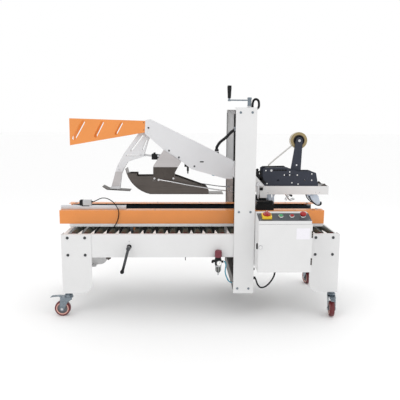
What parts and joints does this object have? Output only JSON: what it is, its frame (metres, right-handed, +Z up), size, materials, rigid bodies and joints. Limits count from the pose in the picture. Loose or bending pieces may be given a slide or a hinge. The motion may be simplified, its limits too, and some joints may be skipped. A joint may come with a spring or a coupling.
{
  "type": "carton sealer machine",
  "caption": "Flap-folding carton sealer: roller bed on casters, two side belt rails, two columns and a crank-lifted head with kicker, plough and tape head.",
  "frame": {"origin": "on the floor, at the middle of the bounding box", "axes": "+X along the cartons' travel from the infeed end to the taping end, +Y from the control cabinet's side to the far side, +Z up"},
  "size_m": [1.8421, 0.8888, 1.454],
  "materials": {
    "frame_paint": "satin light grey powder coat",
    "orange_paint": "satin orange powder coat",
    "head_paint": "satin dark blue-grey paint",
    "dark_paint": "worn dark brown-grey steel",
    "grey_steel": "satin bare steel",
    "chain_steel": "oiled roller chain",
    "zinc_plate": "zinc plated pressing",
    "wheel_tread": "polyurethane tread, gloss",
    "steel": "bright turned steel",
    "aluminium": "drawn aluminium",
    "roller": "bright tube, satin",
    "belt_rubber": "matt dark drive belt",
    "sensor_aluminium": "extruded guide and grey housing",
    "black_plastic": "matt black plastic and rubber",
    "hose_plastic": "teal polyurethane air hose",
    "tape": "brown packing tape",
    "knob_plastic": "maroon moulded knob",
    "red_plastic": "gloss red",
    "green_plastic": "gloss green"
  },
  "bodies": {
    "frame": {"side_beam_near": "frame_paint", "side_beam_far": "frame_paint", "leg_infeed_near": "frame_paint", "leg_infeed_far": "frame_paint", "leg_outfeed_near": "frame_paint", "leg_outfeed_far": "frame_paint", "column_near": "frame_paint", "column_far": "frame_paint", "column_tie": "dark_paint", "sync_chain": "chain_steel", "roller_bank": "roller", "lower_tape_head": "head_paint", "control_box": "frame_paint", "cabinet_cable": "black_plastic", "air_regulator": "black_plastic", "air_hose": "hose_plastic"},
    "head": {"head_carriage": "frame_paint", "head_arm": "frame_paint", "guard_near": "orange_paint", "guard_far": "orange_paint", "plough_bracket": "grey_steel", "plough_ski": "dark_paint", "flap_rod_near": "aluminium", "flap_rod_far": "aluminium", "tape_tray": "frame_paint", "tape_head_frame": "head_paint", "head_conduit": "black_plastic"},
    "lift_crank": {"lift_crank": "steel", "lift_screw_near": "steel"},
    "lift_screw_far": {"lift_screw_far": "steel"},
    "kicker": {"kicker_arm": "frame_paint"},
    "kicker_cylinder": {"kicker_cylinder": "aluminium"},
    "kicker_rod": {"kicker_rod": "steel"},
    "tape_roll": {"tape_roll": "tape"},
    "front_wipe_arm": {"front_wipe_arm": "black_plastic"},
    "rear_wipe_arm": {"rear_wipe_arm": "black_plastic"},
    "rail_near": {"rail_near": "orange_paint", "belt_near": "belt_rubber", "belt_motor_near": "head_paint", "carton_sensor": "sensor_aluminium", "sensor_cable": "black_plastic"},
    "rail_far": {"rail_far": "orange_paint", "belt_far": "belt_rubber", "belt_motor_far": "head_paint"},
    "width_spindle_infeed": {"width_spindle_infeed": "steel"},
    "width_spindle_outfeed": {"width_spindle_outfeed": "steel"},
    "control_door": {"control_door": "frame_paint"},
    "main_switch": {"main_switch": "red_plastic"},
    "start_button": {"start_button": "green_plastic"},
    "stop_button": {"stop_button": "red_plastic"},
    "estop_button": {"estop_button": "red_plastic"},
    "regulator_knob": {"regulator_knob": "knob_plastic"},
    "caster_fork_infeed_near": {"caster_fork_infeed_near": "zinc_plate"},
    "caster_wheel_infeed_near": {"caster_wheel_infeed_near": "wheel_tread"},
    "caster_fork_infeed_far": {"caster_fork_infeed_far": "zinc_plate"},
    "caster_wheel_infeed_far": {"caster_wheel_infeed_far": "wheel_tread"},
    "caster_fork_outfeed_near": {"caster_fork_outfeed_near": "zinc_plate"},
    "caster_wheel_outfeed_near": {"caster_wheel_outfeed_near": "wheel_tread"},
    "caster_fork_outfeed_far": {"caster_fork_outfeed_far": "zinc_plate"},
    "caster_wheel_outfeed_far": {"caster_wheel_outfeed_far": "wheel_tread"}
  },
  "joints": [
    {"name": "head_lift", "type": "slide", "parent": "frame", "child": "head", "axis": [0, 0, 1], "range_m": [-0.06, 0.29], "deforming": ["head_conduit"]},
    {"name": "kicker_swing", "type": "hinge", "parent": "head", "child": "kicker", "pos_m": [-0.3011, 0.0431, 1.193], "axis": [0, 1, 0], "range_deg": [0, 60]},
    {"name": "rail_width_near", "type": "slide", "parent": "frame", "child": "rail_near", "axis": [0, -1, 0], "range_m": [-0.025, 0.058]},
    {"name": "front_wipe", "type": "hinge", "parent": "head", "child": "front_wipe_arm", "pos_m": [0.4949, 0.0431, 0.795], "axis": [0, -1, 0], "range_deg": [0, 50], "stiffness_Nm_per_rad": 1, "springref_deg": -22.92},
    {"name": "control_door", "type": "hinge", "parent": "frame", "child": "control_door", "pos_m": [0.698, -0.43515, 0.3395], "axis": [0, 0, 1], "range_deg": [0, 110]},
    {"name": "tape_roll", "type": "hinge", "parent": "head", "child": "tape_roll", "pos_m": [0.7029, 0.0431, 1.1135], "axis": [0, 1, 0], "continuous": true},
    {"name": "main_switch", "type": "hinge", "parent": "frame", "child": "main_switch", "pos_m": [0.4289, -0.3869, 0.6702], "axis": [0, -0.2842, 0.9588], "range_deg": [-90, 0]},
    {"name": "start_button", "type": "slide", "parent": "frame", "child": "start_button", "axis": [0, 0.2842, -0.9588], "range_m": [0, 0.004], "stiffness_N_per_m": 600, "springref_m": -0.002},
    {"name": "stop_button", "type": "slide", "parent": "frame", "child": "stop_button", "axis": [0, 0.2842, -0.9588], "range_m": [0, 0.004], "stiffness_N_per_m": 600, "springref_m": -0.002},
    {"name": "estop_button", "type": "slide", "parent": "frame", "child": "estop_button", "axis": [0, 0.2842, -0.9588], "range_m": [0, 0.005], "stiffness_N_per_m": 600, "springref_m": -0.002},
    {"name": "regulator_knob", "type": "hinge", "parent": "frame", "child": "regulator_knob", "pos_m": [0.1469, -0.3019, 0.3985], "axis": [0, 0, 1], "range_deg": [-720, 720]},
    {"name": "lift_crank_turn", "type": "hinge", "parent": "frame", "child": "lift_crank", "pos_m": [0.3319, -0.2249, 1.3325], "axis": [0, 0, 1], "range_deg": [-2165, 10445]},
    {"name": "lift_screw_far_turn", "type": "hinge", "parent": "frame", "child": "lift_screw_far", "pos_m": [0.3319, 0.3111, 0.2355], "axis": [0, 0, 1], "range_deg": [-2165, 10445]},
    {"name": "rail_width_far", "type": "slide", "parent": "frame", "child": "rail_far", "axis": [0, 1, 0], "range_m": [-0.025, 0.058]},
    {"name": "width_crank_turn", "type": "hinge", "parent": "frame", "child": "width_spindle_infeed", "pos_m": [-0.4111, 0.0431, 0.459], "axis": [0, 1, 0], "range_deg": [-905, 2093]},
    {"name": "width_spindle_outfeed_turn", "type": "hinge", "parent": "frame", "child": "width_spindle_outfeed", "pos_m": [0.4469, 0.0431, 0.459], "axis": [0, 1, 0], "range_deg": [-905, 2093]},
    {"name": "kicker_cylinder_tilt", "type": "hinge", "parent": "head", "child": "kicker_cylinder", "pos_m": [-0.0371, 0.0431, 0.985], "axis": [0, 1, 0], "range_deg": [0, 15.3]},
    {"name": "kicker_rod_stroke", "type": "slide", "parent": "kicker_cylinder", "child": "kicker_rod", "axis": [-0.9959, 0, 0.0905], "range_m": [0, 0.1575]},
    {"name": "rear_wipe", "type": "hinge", "parent": "head", "child": "rear_wipe_arm", "pos_m": [0.7029, 0.0431, 0.8], "axis": [0, -1, 0], "range_deg": [0, 27.5]},
    {"name": "caster_swivel_infeed_near", "type": "hinge", "parent": "frame", "child": "caster_fork_infeed_near", "pos_m": [-0.8051, -0.2419, 0.157], "axis": [0, 0, 1], "continuous": true},
    {"name": "caster_swivel_outfeed_near", "type": "hinge", "parent": "frame", "child": "caster_fork_outfeed_near", "pos_m": [0.8909, -0.2419, 0.157], "axis": [0, 0, 1], "continuous": true},
    {"name": "caster_swivel_infeed_far", "type": "hinge", "parent": "frame", "child": "caster_fork_infeed_far", "pos_m": [-0.8051, 0.3281, 0.157], "axis": [0, 0, 1], "continuous": true},
    {"name": "caster_swivel_outfeed_far", "type": "hinge", "parent": "frame", "child": "caster_fork_outfeed_far", "pos_m": [0.8909, 0.3281, 0.157], "axis": [0, 0, 1], "continuous": true},
    {"name": "caster_spin_infeed_near", "type": "hinge", "parent": "caster_fork_infeed_near", "child": "caster_wheel_infeed_near", "pos_m": [-0.8451, -0.2419, 0.05], "axis": [0, -1, 0], "continuous": true},
    {"name": "caster_spin_outfeed_near", "type": "hinge", "parent": "caster_fork_outfeed_near", "child": "caster_wheel_outfeed_near", "pos_m": [0.88395, -0.28129, 0.05], "axis": [0.9848, -0.1736, 0], "continuous": true},
    {"name": "caster_spin_infeed_far", "type": "hinge", "parent": "caster_fork_infeed_far", "child": "caster_wheel_infeed_far", "pos_m": [-0.84269, 0.34178, 0.05], "axis": [-0.342, -0.9397, 0], "continuous": true},
    {"name": "caster_spin_outfeed_far", "type": "hinge", "parent": "caster_fork_outfeed_far", "child": "caster_wheel_outfeed_far", "pos_m": [0.88395, 0.36749, 0.05], "axis": [-0.9848, -0.1736, 0], "continuous": true}
  ],
  "couplings": [
    {"joint": "lift_crank_turn", "follows": "head_lift", "rad_per_m": 628.32},
    {"joint": "lift_screw_far_turn", "follows": "head_lift", "rad_per_m": 628.32},
    {"joint": "rail_width_far", "follows": "rail_width_near", "ratio": 1},
    {"joint": "width_crank_turn", "follows": "rail_width_near", "rad_per_m": 628.32},
    {"joint": "width_spindle_outfeed_turn", "follows": "rail_width_near", "rad_per_m": 628.32},
    {"joint": "kicker_cylinder_tilt", "follows": "kicker_swing", "ratio": 0.2535},
    {"joint": "kicker_rod_stroke", "follows": "kicker_swing", "m_per_rad": 0.149},
    {"joint": "rear_wipe", "follows": "front_wipe", "ratio": 0.54}
  ]
}
